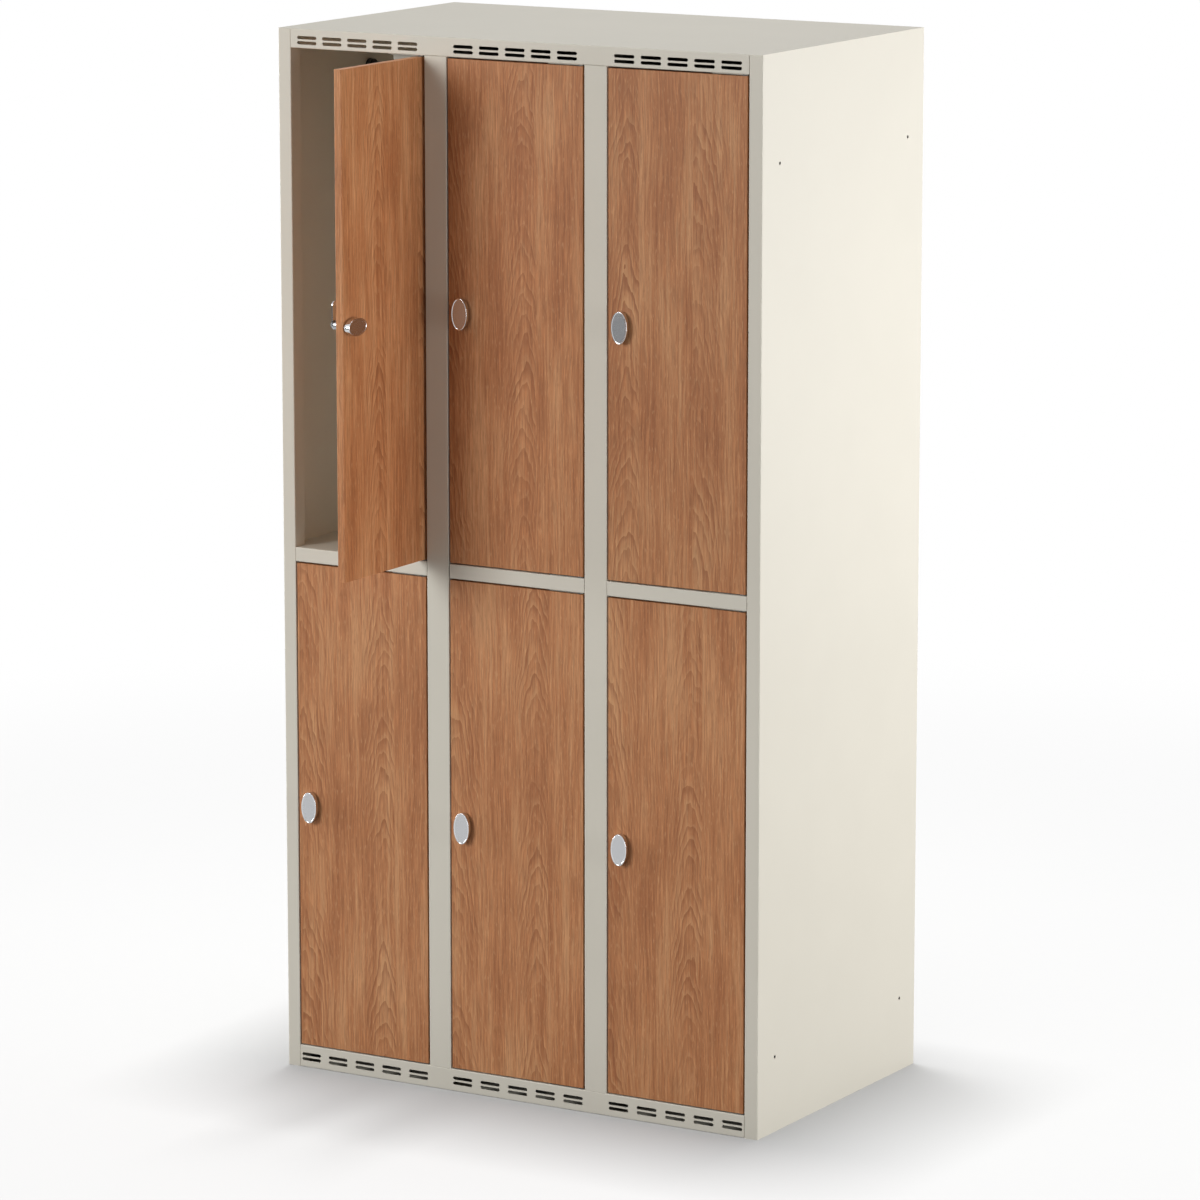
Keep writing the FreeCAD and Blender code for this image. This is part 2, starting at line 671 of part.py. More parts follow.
def railCups():
    # A socket on each wall for the end of a coat rail.
    body = newBody("rail_cups", leftEdge, "0", railLevel)
    sketch = newSketch(body, "CupSection", "XZ_Plane")
    for column in range(len(columnNames)):
        for wall, way in zip(columnWalls(column), ("1", "-1")):
            outline(sketch, (
                (wall, "0"),
                ("%s + %s * cupFloor" % (wall, way), "0"),
                ("%s + %s * cupFloor" % (wall, way), "railRadius + seatGap"),
                ("%s + %s * cupDepth" % (wall, way), "railRadius + seatGap"),
                ("%s + %s * cupDepth" % (wall, way), "cupRadius"),
                (wall, "cupRadius"),
            ))
    turned = revolve(body, "CupTurned", sketch, "H_Axis")
    pattern(body, "CupTiers", [turned], (sketch, ["V_Axis"]), "tierPitch", len(tierNames))


def doorBody(part, place, spot):
    # Measured from the door's pivot axis at its bottom edge; the door hangs to the left.
    x, z, turn = spot
    return newBody("%s_%s" % (part, place), x, "%s + pivotDepth" % frontEdge, z, turn)


def doorBoard(place, spot):
    body = doorBody("door", place, spot)
    name = "Door_" + place
    free = "pivotInset - doorWidth"
    sketch = newSketch(body, name + "Outline", "XY_Plane")
    rectangle(sketch, free, "pivotInset", "-pivotDepth", "doorThickness - pivotDepth")
    board = pad(body, name + "Board", sketch, "doorHeight")
    doc.recompute()
    upright = []
    for number, edge in enumerate(board.Shape.Edges, start=1):
        run = edge.Vertexes[1].Point - edge.Vertexes[0].Point
        if abs(run.z) > edge.Length / 2:
            upright.append("Edge%d" % number)
    fillet = body.newObject("PartDesign::Fillet", name + "Rounding")
    fillet.Base = (board, upright)
    bind(fillet, "Radius", "doorEdgeRadius")
    drill = newSketch(body, name + "Drill", "XZ_Plane")
    bore = "pinRadius + pinFit"
    rectangle(drill, "0", bore, "-sheet", "pinInDoor + seatGap")
    rectangle(drill, "0", bore, "doorHeight - pinInDoor - seatGap", "doorHeight + sheet")
    revolve(body, name + "PinHoles", drill, "V_Axis", "Groove")
    hole = newSketch(body, name + "Lock", "XZ_Plane", "lockX", "lockZ")
    circle(hole, "0", "0", "barrelRadius + barrelFit")
    pocket(body, name + "LockHole", hole)


def hingePins(place, spot):
    # The lower pin has a collar that carries the door on its bush.
    body = doorBody("hinge_pins", place, spot)
    name = "Pins_" + place
    sketch = newSketch(body, name + "Section", "XZ_Plane")
    reach = "(doorGap + bushReach)"
    collarDrop = "(doorGap - bracketThickness - bushCollar - turnGap)"
    outline(sketch, (
        ("0", "-" + reach),
        ("pinRadius", "-" + reach),
        ("pinRadius", "-" + collarDrop),
        ("pinCollarRadius", "-" + collarDrop),
        ("pinCollarRadius", "0"),
        ("pinRadius", "0"),
        ("pinRadius", "pinInDoor"),
        ("0", "pinInDoor"),
    ))
    rectangle(sketch, "0", "pinRadius", "doorHeight - pinInDoor", "doorHeight + " + reach)
    revolve(body, name + "Turned", sketch)


def lockSketch(body, name, depth, turn="0"):
    # Faces the front, on the lock axis, at a depth behind the door's front face.
    out = "pivotDepth - (%s)" % depth
    return newSketch(body, name, "XZ_Plane", "lockX", "lockZ", out, turn)


def lockBody(place, spot):
    # Collar, barrel and rear boss round the spindle's bore, and the rear plate.
    body = doorBody("lock_body", place, spot)
    name = "Lock_" + place
    stages = (
        ("Collar", "-collarThickness", "collarThickness", "collarRadius"),
        ("Barrel", "0", "doorThickness", "barrelRadius"),
        ("Boss", "doorThickness", "bossBack - doorThickness", "bossRadius"),
    )
    for stage, start, length, radius in stages:
        ring = lockSketch(body, name + stage + "Ring", start)
        circle(ring, "0", "0", radius)
        pad(body, name + stage, ring, length, True)
    plate = lockSketch(body, name + "PlateOutline", "doorThickness")
    rectangle(plate, "-rearPlateWidth / 2", "rearPlateWidth / 2",
              "-rearPlateHeight / 2", "rearPlateHeight / 2")
    slab = pad(body, name + "Plate", plate, "rearPlateThickness", True)
    doc.recompute()
    corners = []
    for number, edge in enumerate(slab.Shape.Edges, start=1):
        spot = edge.CenterOfMass - FreeCAD.Vector(measure("lockX"), 0, measure("lockZ"))
        across = abs(abs(spot.x) - measure("rearPlateWidth / 2"))
        along = abs(abs(spot.z) - measure("rearPlateHeight / 2"))
        if across + along < 0.01 * measure("sheet"):
            corners.append("Edge%d" % number)
    fillet = body.newObject("PartDesign::Fillet", name + "PlateCorners")
    fillet.Base = (slab, corners)
    bind(fillet, "Radius", "rearPlateCorner")
    bore = lockSketch(body, name + "BoreRing", "0")
    circle(bore, "0", "0", "spindleRadius + pinFit")
    pocket(body, name + "Bore", bore)


def lockKnob(place, spot, turn):
    # The oval knob and its spindle: round in the barrel, then square, then threaded.
    body = doorBody("lock_knob", place, spot)
    name = "Knob_" + place
    oval = lockSketch(body, name + "Oval", "-knobBack", turn)
    ellipse(oval, "knobWidth", "knobLength")
    grip = pad(body, name + "Grip", oval, "knobProud - knobBack")
    doc.recompute()
    face = measure("-pivotDepth - knobProud")
    rims = []
    for number, edge in enumerate(grip.Shape.Edges, start=1):
        if abs(edge.CenterOfMass.y - face) < 0.01 * measure("sheet"):
            rims.append("Edge%d" % number)
    fillet = body.newObject("PartDesign::Fillet", name + "Edge")
    fillet.Base = (grip, rims)
    bind(fillet, "Radius", "knobEdge")
    dish = lockSketch(body, name + "DishOval", "-knobProud", turn)
    ellipse(dish, "knobWidth - 2 * knobRim", "knobLength - 2 * knobRim")
    pocket(body, name + "Dish", dish, "knobDish")
    shaft = lockSketch(body, name + "ShaftRing", "-knobBack", turn)
    circle(shaft, "0", "0", "spindleRadius")
    pad(body, name + "Shaft", shaft, "knobBack + camFront", True)
    square = lockSketch(body, name + "SquareOutline", "camFront", turn)
    half = "squareSize / 2"
    rectangle(square, "-" + half, half, "-" + half, half)
    pad(body, name + "Square", square, "camThickness", True)
    thread = lockSketch(body, name + "ThreadRing", "camBack", turn)
    circle(thread, "0", "0", "threadRadius")
    pad(body, name + "Thread", thread, "nutHeight", True)


def lockCam(place, spot, turn):
    # A tongue with a round end and a square hole; it points right before it is turned.
    body = doorBody("lock_cam", place, spot)
    name = "Cam_" + place
    tongue = lockSketch(body, name + "Outline", "camFront", turn)
    slot(tongue, "(camReach - camWidth / 2) / 2", "0", "camReach + camWidth / 2", "camWidth")
    pad(body, name + "Tongue", tongue, "camThickness", True)
    hole = lockSketch(body, name + "HoleOutline", "camFront", turn)
    half = "(squareSize / 2 + pinFit)"
    rectangle(hole, "-" + half, half, "-" + half, half)
    pocket(body, name + "Hole", hole)


def camNut(place, spot, turn):
    body = doorBody("cam_nut", place, spot)
    name = "Nut_" + place
    hexagon = lockSketch(body, name + "Hexagon", "camBack", turn)
    half = "nutSize / 2"
    side = "nutSize * 0.5 / sqrt(3)"
    outline(hexagon, (
        ("nutSize / sqrt(3)", "0"),
        (side, half),
        ("-" + side, half),
        ("-nutSize / sqrt(3)", "0"),
        ("-" + side, "-" + half),
        (side, "-" + half),
    ))
    pad(body, name + "Blank", hexagon, "nutHeight", True)
    flange = lockSketch(body, name + "FlangeRing", "camBack", turn)
    circle(flange, "0", "0", "nutFlangeRadius")
    pad(body, name + "Flange", flange, "nutFlange", True)
    hole = lockSketch(body, name + "Ring", "camBack", turn)
    circle(hole, "0", "0", "threadRadius + pinFit")
    pocket(body, name + "Bore", hole)


# The carcass
sidePanel("left_side_panel", False)
sidePanel("right_side_panel", True)
topPanel()
bottomPanel()
backPanel()
for column in range(1, len(columnNames)):
    side = columnNames[column - 1] + "_" + columnNames[column]
    middleUpright("upright_" + side, column)
    partition("partition_" + side, column)
for column, columnName in enumerate(columnNames):
    tierShelf("tier_shelf_" + columnName, column)
pivotBrackets()
pivotBushes()
coatRails()
railCups()

# The doors with their locks. A closed door's cam lies towards its hinge, and the open
# door's knob stands a quarter turn on from there.
for tier, tierName in enumerate(tierNames):
    for column, columnName in enumerate(columnNames):
        place = tierName + "_" + columnName
        isOpen = tierName == "upper" and columnName == "left"
        spot = (
            "%s + %s + pivotInOpening" % (leftEdge, openingLeft(column)),
            "bottomRail + doorGap + %d * tierPitch" % tier,
            "openAngle" if isOpen else "0",
        )
        turn = "90" if isOpen else "0"
        doorBoard(place, spot)
        hingePins(place, spot)
        lockBody(place, spot)
        lockKnob(place, spot, turn)
        lockCam(place, spot, turn)
        camNut(place, spot, turn)

doc.recompute()
for item in doc.Objects:
    if "Invalid" in item.State or "Error" in item.State:
        raise RuntimeError("%s failed: %s" % (item.Label, item.State))
bodies = [item for item in doc.Objects if item.TypeId == "PartDesign::Body"]
for body in bodies:
    if body.Shape.isNull() or not body.Shape.isValid():
        raise RuntimeError("%s has no valid shape" % body.Label)

os.makedirs("parts", exist_ok=True)
for body in bodies:
    body.Shape.exportStep("parts/%s.step" % body.Label)
    print("%s: %d solids, %.0f mm3" % (body.Label, len(body.Shape.Solids), body.Shape.Volume))
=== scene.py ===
import bmesh
import bpy
import json
import math
from mathutils import Matrix, Vector


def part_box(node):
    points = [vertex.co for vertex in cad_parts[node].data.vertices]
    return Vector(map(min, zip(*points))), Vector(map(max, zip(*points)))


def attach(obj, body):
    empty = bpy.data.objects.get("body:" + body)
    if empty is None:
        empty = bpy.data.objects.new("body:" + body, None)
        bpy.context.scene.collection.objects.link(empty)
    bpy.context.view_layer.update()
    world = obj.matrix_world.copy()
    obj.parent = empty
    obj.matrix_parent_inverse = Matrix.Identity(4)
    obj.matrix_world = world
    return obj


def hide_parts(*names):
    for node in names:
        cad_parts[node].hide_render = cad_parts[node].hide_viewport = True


# Double tier locker: powder coated steel carcass, six laminate doors on pivot
# pins, oval chrome knobs. Metres, Z up, the doors face -Y.

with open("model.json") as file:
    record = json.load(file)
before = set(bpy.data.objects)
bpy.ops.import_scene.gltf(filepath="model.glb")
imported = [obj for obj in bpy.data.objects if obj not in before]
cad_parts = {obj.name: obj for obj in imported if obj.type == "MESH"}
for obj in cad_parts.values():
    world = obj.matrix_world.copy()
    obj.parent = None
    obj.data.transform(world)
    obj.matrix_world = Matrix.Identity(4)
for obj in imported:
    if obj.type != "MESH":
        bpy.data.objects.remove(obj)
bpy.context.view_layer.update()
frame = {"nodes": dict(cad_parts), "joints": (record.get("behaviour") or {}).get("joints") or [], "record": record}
nodes = frame["nodes"]
mm = 0.001
print("frame loaded:", len(nodes), "nodes")

places = [tier + "_" + column for tier in ("lower", "upper") for column in ("left", "middle", "right")]
joints = {joint["name"]: joint for joint in frame["joints"]}

# A closed door's free, lower, front corner, seen from its pivot
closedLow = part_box("door_lower_left")[0]
closedPivot = Vector(joints["hinge_lower_left"]["pos_m"])
cornerFromPivot = Vector((closedLow.x - closedPivot.x, closedLow.y - closedPivot.y, 0))


def doorPlace(place):
    # where that corner of any door lies at rest, and how far the door stands open:
    # a closed door's range starts at 0, the open one's at minus its rest angle
    joint = joints["hinge_" + place]
    angle = math.radians(-joint["range_deg"][0])
    corner = Vector(joint["pos_m"]) + Matrix.Rotation(angle, 3, "Z") @ cornerFromPivot
    corner.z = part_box("door_" + place)[0].z
    return corner, angle


# Materials

def linear(code):
    channels = [int(code[i:i + 2], 16) / 255 for i in (1, 3, 5)]
    return [c / 12.92 if c <= 0.04045 else ((c + 0.055) / 1.055) ** 2.4 for c in channels] + [1.0]


def addNode(tree, kind, inputs=None, **settings):
    # inputs go to the sockets: a number, a vector, a colour code, a node or one of its outputs
    node = tree.nodes.new("ShaderNode" + kind)
    for key, value in settings.items():
        setattr(node, key, value)
    for key, value in (inputs or {}).items():
        if isinstance(value, bpy.types.NodeSocket):
            tree.links.new(value, node.inputs[key])
        elif isinstance(value, bpy.types.Node):
            tree.links.new(value.outputs[0], node.inputs[key])
        else:
            node.inputs[key].default_value = linear(value) if isinstance(value, str) else value
    return node


def newMaterial(name):
    material = bpy.data.materials.new(name)
    material.use_nodes = True
    material.node_tree.nodes.clear()
    return material, material.node_tree


paint = {
    "colour": "#D5D0C3",
    "shade": "#D2CDC0",
    # noise layers: size in mm, detail
    "layers": {
        "cloud": (160.0, 2.0),      # slow change of shade
        "grain": (0.45, 1.0),       # the powder's own grain
        "peel": (1.6, 1.0),         # the coat's orange peel
    },
    "grainTone": 0.4,               # the grain's part of the tone; the cloud has the rest
    "toneEnds": (0.35, 0.65),       # the tones that give the shade and the full colour
    "roughness": 0.48,
    "roughnessSpan": 0.03,
    "gloss": 0.40,                  # specular level
    "grainHeight": 0.35,            # the grain's height, where the peel's is 1
    "relief": 0.03,                 # mm
    "bump": 0.25,                   # strength of the relief
}


def powderCoat():
    # Satin polyester powder coat on steel: an even warm off-white with a fine orange peel
    material, tree = newMaterial("PowderCoatOffWhite")
    spot = addNode(tree, "TexCoord").outputs["Object"]
    layers = {}
    for layer, (size, detail) in paint["layers"].items():
        scaled = addNode(tree, "Mapping", {"Vector": spot, "Scale": (1 / (size * mm),) * 3})
        layers[layer] = addNode(tree, "TexNoise", {"Vector": scaled, "Scale": 1.0, "Detail": detail})
    fine = addNode(tree, "Math", {0: layers["grain"], 1: paint["grainTone"]}, operation="MULTIPLY")
    tone = addNode(tree, "Math", {0: layers["cloud"], 1: 1 - paint["grainTone"], 2: fine},
                   operation="MULTIPLY_ADD")
    low, high = paint["toneEnds"]
    share = addNode(tree, "MapRange", {"Value": tone, "From Min": low, "From Max": high})
    colour = addNode(tree, "Mix", {0: share, 6: paint["shade"], 7: paint["colour"]}, data_type="RGBA")
    span = paint["roughnessSpan"]
    rough = addNode(tree, "Math", {0: layers["cloud"], 1: span, 2: paint["roughness"] - span / 2},
                    operation="MULTIPLY_ADD")
    height = addNode(tree, "Math", {0: layers["grain"], 1: paint["grainHeight"], 2: layers["peel"]},
                     operation="MULTIPLY_ADD")
    bump = addNode(tree, "Bump", {"Height": height, "Strength": paint["bump"],
                                  "Distance": paint["relief"] * mm})
    shader = addNode(tree, "BsdfPrincipled", {"Base Color": colour.outputs[2], "Roughness": rough,
                                              "Specular IOR Level": paint["gloss"], "Normal": bump})
    addNode(tree, "OutputMaterial", {"Surface": shader})
    return material


laminate = {
    "light": "#BF8A5F",
    "middle": "#B0764C",
    "dark": "#9E643D",
    "line": "#844B2A",
    "pale": "#D3A374",
    "repeat": 282.0,                # mm, width of the printed sheet's repeat
    "joint": 185.0,                 # mm, where its figured board ends and the straight one begins
    "sway": (55.0, 150.0, 12.0),    # mm, every line's wander sideways: size across, along, and reach
    # the figured board's two hearts: place, width and pitch of the arches, how far the figure reaches
    "hearts": ((3.0, 20.0, 46.0, 78.0), (163.0, 15.0, 36.0, 52.0)),
    # each heart's own place in the noise of its warp, of its rings' weights and of its groups
    "seeds": ((0.0, 0.0, 2.0), (7.3, 31.0, 13.0)),
    "tip": 3.5,                     # mm, rounding of the arches' tips
    "legs": 1.55,                   # power of the distance from the heart: the legs steepen outward
    "warp": (30.0, 95.0, 3.2),      # the arches' wander: mm across, mm along, and rings
    "faintest": 0.35,               # weight of the faintest ring
    # how the figure comes and goes: mm along, the noise where it starts and is full, and its least
    "group": (190.0, 0.38, 0.56, 0.20),
    "full": 0.35,                   # part of a heart's reach within which the figure is full
    # the dark and the pale line of a ring: where in it they start and are full, and their strength
    "darkLine": (0.45, 0.92, 0.60),
    "paleLine": (0.38, 0.06, 0.34),
    "boardSeed": 50.0,              # the straight board's place in the noise
    # noise layers along the board: mm across, mm along, detail
    "layers": {
        "patches": (52.0, 260.0, 1.0),
        "bands": (13.0, 420.0, 2.0),
        "streaks": (4.6, 150.0, 2.0),
        "fibres": (2.1, 46.0, 2.0),
        "flecks": (1.9, 15.0, 1.0),
    },
    "toneParts": {"patches": 0.38, "bands": 0.23, "streaks": 0.39},
    "toneSteps": (0.39, 0.50, 0.61),    # the tones that give the dark, middle and light colour
    "fibre": (0.30, 0.70, 0.77, 1.19),  # noise from and to, and the brightness that these give
    "fleck": (0.60, 0.74, 0.50),    # pale flecks: noise where they start and are full, strength
    "pore": (0.40, 0.28, 0.30),     # dark pores: the same
    "roughness": 0.50,
    "roughnessSpan": 0.10,
    "gloss": 0.30,                  # specular level
    "relief": 0.03,                 # mm
    "bump": 0.25,                   # strength of the relief
    # each door's cut of the sheet: offset across and along, in mm, and a factor on its print's brightness; on the
    # upper left door this factor is painted light
    "cut": {
        "lower_left": (-3.0, 0.0, 1.06),
        "lower_middle": (0.0, 700.0, 1.07),
        "lower_right": (11.0, 1560.0, 1.05),
        # painted light: the upper left door stands open at rest, and its print is lightened for the light its
        # outer face lacks
        "upper_left": (60.0, 2310.0, 1.20),
        "upper_middle": (22.0, 3090.0, 1.07),
        "upper_right": (128.0, 4020.0, 1.03),
    },
}


def laminateFor(place):
    # High pressure laminate with a printed cherry figure: boards side by side, arches over
    # two hearts, fine straight fibres everywhere. The print goes round the door's edges.
    material, tree = newMaterial("CherryLaminate_" + place)
    corner, angle = doorPlace(place)
    offset, slide, shade = laminate["cut"][place]
    spot = addNode(tree, "TexCoord").outputs["Object"]
    # door coordinates in millimetres: X from the free edge, Y back from the face, Z up from the bottom
    onDoor = addNode(tree, "Mapping", {"Vector": spot, "Location": corner, "Rotation": (0, 0, angle),
                                       "Scale": (mm, mm, mm)}, vector_type="TEXTURE")
    onDoor = addNode(tree, "SeparateXYZ", {0: onDoor}).outputs
    across = addNode(tree, "Math", {0: onDoor[0], 1: onDoor[1]}, operation="ADD")
    along = addNode(tree, "Math", {0: onDoor[2], 1: slide}, operation="ADD")
    flat = addNode(tree, "CombineXYZ", {0: across, 2: along})
    wide, tall, swayReach = laminate["sway"]
    scaled = addNode(tree, "Mapping", {"Vector": flat, "Scale": (1 / wide, 1, 1 / tall)})
    sway = addNode(tree, "TexNoise", {"Vector": scaled, "Scale": 1.0, "Detail": 2.0})
    sway = addNode(tree, "Math", {0: sway, 1: swayReach, 2: offset - swayReach / 2},
                   operation="MULTIPLY_ADD")
    moved = addNode(tree, "Math", {0: across, 1: sway}, operation="ADD")
    onSheet = addNode(tree, "Math", {0: across, 1: offset}, operation="ADD")
    onSheet = addNode(tree, "Math", {0: onSheet, 1: laminate["repeat"], 2: 0.0}, operation="WRAP")
    straight = addNode(tree, "Math", {0: onSheet, 1: laminate["joint"]}, operation="GREATER_THAN")
    swayed = addNode(tree, "Math", {0: moved, 1: laminate["repeat"], 2: 0.0}, operation="WRAP")

    # arches: growth rings cut flat, whose lines run down and outward from the heart
    darkLines, paleLines = [], []
    for heartCut, heartSeeds in zip(laminate["hearts"], laminate["seeds"]):
        heart, width, pitch, reach = heartCut
        warpSeed, ringSeed, groupSeed = heartSeeds
        side = addNode(tree, "Math", {0: swayed, 1: heart}, operation="SUBTRACT")
        side = addNode(tree, "Math", {0: side, 1: side, 2: laminate["tip"] ** 2}, operation="MULTIPLY_ADD")
        side = addNode(tree, "Math", {0: side, 1: 0.5}, operation="POWER")
        legs = addNode(tree, "Math", {0: side, 1: 1 / width}, operation="MULTIPLY")
        legs = addNode(tree, "Math", {0: legs, 1: laminate["legs"]}, operation="POWER")
        wide, tall, warpReach = laminate["warp"]
        scaled = addNode(tree, "Mapping", {"Vector": flat, "Location": (0, warpSeed, 0),
                                           "Scale": (1 / wide, 1, 1 / tall)})
        warp = addNode(tree, "TexNoise", {"Vector": scaled, "Scale": 1.0, "Detail": 3.0})
        rings = addNode(tree, "Math", {0: along, 1: 1 / pitch, 2: legs}, operation="MULTIPLY_ADD")
        rings = addNode(tree, "Math", {0: warp, 1: warpReach, 2: rings}, operation="MULTIPLY_ADD")
        phase = addNode(tree, "Math", {0: rings}, operation="FRACT")
        number = addNode(tree, "Math", {0: rings, 1: ringSeed}, operation="ADD")
        number = addNode(tree, "Math", {0: number}, operation="FLOOR")
        weight = addNode(tree, "TexWhiteNoise", {"W": number}, noise_dimensions="1D").outputs["Value"]
        weight = addNode(tree, "MapRange", {"Value": weight, "To Min": laminate["faintest"]})
        # the figure comes and goes along the board, and fades away from its heart
        tall, start, end, least = laminate["group"]
        line = addNode(tree, "CombineXYZ", {0: groupSeed, 2: along})
        scaled = addNode(tree, "Mapping", {"Vector": line, "Scale": (1, 1, 1 / tall)})
        group = addNode(tree, "TexNoise", {"Vector": scaled, "Scale": 1.0, "Detail": 1.5})
        group = addNode(tree, "MapRange", {"Value": group, "From Min": start, "From Max": end,
                                           "To Min": least}, interpolation_type="SMOOTHSTEP")
        near = addNode(tree, "MapRange", {"Value": side, "From Min": reach,
                                          "From Max": laminate["full"] * reach},
                       interpolation_type="SMOOTHSTEP")
        share = addNode(tree, "Math", {0: group, 1: near}, operation="MULTIPLY")
        share = addNode(tree, "Math", {0: share, 1: weight}, operation="MULTIPLY")
        for lines, kind in ((darkLines, "darkLine"), (paleLines, "paleLine")):
            start, end, strength = laminate[kind]
            pulse = addNode(tree, "MapRange", {"Value": phase, "From Min": start, "From Max": end},
                            interpolation_type="SMOOTHSTEP")
            lines.append(addNode(tree, "Math", {0: pulse, 1: share}, operation="MULTIPLY"))

    # bands, streaks, fibres and flecks along the board, new ones in each board
    board = addNode(tree, "Math", {0: straight, 1: laminate["boardSeed"]}, operation="MULTIPLY")
    onBoard = addNode(tree, "CombineXYZ", {0: moved, 1: board, 2: along})
    layers = {}
    for layer, (wide, tall, detail) in laminate["layers"].items():
        scaled = addNode(tree, "Mapping", {"Vector": onBoard, "Scale": (1 / wide, 1, 1 / tall)})
        layers[layer] = addNode(tree, "TexNoise", {"Vector": scaled, "Scale": 1.0, "Detail": detail})
    tone = 0.0
    for layer, part in laminate["toneParts"].items():
        tone = addNode(tree, "Math", {0: layers[layer], 1: part, 2: tone}, operation="MULTIPLY_ADD")
    darkTone, middleTone, lightTone = laminate["toneSteps"]
    lower = addNode(tree, "MapRange", {"Value": tone, "From Min": darkTone, "From Max": middleTone})
    upper = addNode(tree, "MapRange", {"Value": tone, "From Min": middleTone, "From Max": lightTone})
    colour = addNode(tree, "Mix", {0: lower, 6: laminate["dark"], 7: laminate["middle"]}, data_type="RGBA")
    colour = addNode(tree, "Mix", {0: upper, 6: colour.outputs[2], 7: laminate["light"]}, data_type="RGBA")
    # the door's brightness factor scales the fibres; on the upper left door it is painted light
    start, end, dim, bright = laminate["fibre"]
    fibre = addNode(tree, "MapRange", {"Value": layers["fibres"], "From Min": start, "From Max": end,
                                       "To Min": dim * shade, "To Max": bright * shade})
    colour = addNode(tree, "Mix", {0: 1.0, 6: colour.outputs[2], 7: fibre}, data_type="RGBA",
                     blend_type="MULTIPLY")
    start, end, strength = laminate["fleck"]
    fleck = addNode(tree, "MapRange", {"Value": layers["flecks"], "From Min": start, "From Max": end,
                                       "To Max": strength})
    colour = addNode(tree, "Mix", {0: fleck, 6: colour.outputs[2], 7: laminate["pale"]}, data_type="RGBA")
    start, end, strength = laminate["pore"]
    pore = addNode(tree, "MapRange", {"Value": layers["flecks"], "From Min": start, "From Max": end,
                                      "To Max": strength})
    colour = addNode(tree, "Mix", {0: pore, 6: colour.outputs[2], 7: laminate["line"]}, data_type="RGBA")
    figured = addNode(tree, "Math", {0: 1.0, 1: straight}, operation="SUBTRACT")
    for lines, kind, code in ((darkLines, "darkLine", laminate["line"]),
                              (paleLines, "paleLine", laminate["pale"])):
        start, end, strength = laminate[kind]
        both = addNode(tree, "Math", {0: lines[0], 1: lines[1]}, operation="MAXIMUM")
        both = addNode(tree, "Math", {0: both, 1: figured}, operation="MULTIPLY")
        both = addNode(tree, "Math", {0: both, 1: strength}, operation="MULTIPLY")
        colour = addNode(tree, "Mix", {0: both, 6: colour.outputs[2], 7: code}, data_type="RGBA")

    span = laminate["roughnessSpan"]
    rough = addNode(tree, "Math", {0: layers["fibres"], 1: span, 2: laminate["roughness"] - span / 2},
                    operation="MULTIPLY_ADD")
    height = addNode(tree, "Math", {0: layers["fibres"], 1: pore}, operation="SUBTRACT")
    bump = addNode(tree, "Bump", {"Height": height, "Strength": laminate["bump"],
                                  "Distance": laminate["relief"] * mm})
    shader = addNode(tree, "BsdfPrincipled", {"Base Color": colour.outputs[2], "Roughness": rough,
                                              "Specular IOR Level": laminate["gloss"], "Normal": bump})
    addNode(tree, "OutputMaterial", {"Surface": shader})
    return material


metals = {
    # name: colour, roughness, patch size in mm, relief in mm
    "PolishedChrome": ("#D9DBDD", 0.07, 9.0, 0.0),      # the knobs' rim and side: a clear mirror
    "SatinChromeFace": ("#C3C4C6", 0.22, 0.5, 0.01),    # their blasted face: it blurs what it reflects
    "CamChrome": ("#BDBFC2", 0.14, 5.0, 0.0),           # stamped cams: a slightly soft mirror
    "DieCastZincChrome": ("#A9ABAE", 0.26, 3.0, 0.01),  # cast lock bodies: a soft gleam
    "ZincPlateDarkenedAsPaintedShade": ("#77736B", 0.52, 6.0, 0.02),    # pivot brackets: dull, and darkened below their zinc's own colour: painted shade, so the gaps they sit in stay dark
    "TurnedSteel": ("#A9AAAB", 0.30, 0.6, 0.01),        # hinge pins: a fine grain dims the shine
    "ZincPlatedNut": ("#A9ABAE", 0.24, 1.5, 0.01),      # flange nuts: small bright patches
}
metalPatches = {
    "dirt": 0.12,                   # how far a patch goes towards black
    "roughness": (0.75, 1.25),      # the least and the most, as a part of the metal's own
    "bump": 0.3,                    # strength of the relief
}


def metal(name):
    # A bare or plated metal: its shade and its roughness change a little from patch to patch
    code, roughness, patch, relief = metals[name]
    material, tree = newMaterial(name)
    spot = addNode(tree, "TexCoord").outputs["Object"]
    scaled = addNode(tree, "Mapping", {"Vector": spot, "Scale": (1 / (patch * mm),) * 3})
    cloud = addNode(tree, "TexNoise", {"Vector": scaled, "Scale": 1.0, "Detail": 3.0})
    dark = addNode(tree, "Mix", {0: metalPatches["dirt"], 6: code, 7: "#000000"}, data_type="RGBA")
    colour = addNode(tree, "Mix", {0: cloud, 6: dark.outputs[2], 7: code}, data_type="RGBA")
    least, most = metalPatches["roughness"]
    rough = addNode(tree, "Math", {0: cloud, 1: roughness * (most - least), 2: roughness * least},
                    operation="MULTIPLY_ADD")
    surface = {"Base Color": colour.outputs[2], "Roughness": rough, "Metallic": 1.0}
    if relief:
        surface["Normal"] = addNode(tree, "Bump", {"Height": cloud, "Strength": metalPatches["bump"],
                                                   "Distance": relief * mm})
    shader = addNode(tree, "BsdfPrincipled", surface)
    addNode(tree, "OutputMaterial", {"Surface": shader})
    return material


plastics = {
    # name: colour, roughness, grain in mm
    "BlackMouldedPlastic": ("#141414", 0.55, 0.6),      # bushes and end cups: matt from the mould
    "BlackEnamel": ("#0C0C0D", 0.32, 1.4),              # coat rails: a soft sheen along the tube
}
plasticGrain = {
    "lighter": 0.06,                # how far the grain goes towards white
    "roughnessSpan": 0.12,
    "relief": 0.02,                 # mm
    "bump": 0.3,                    # strength of the relief
}


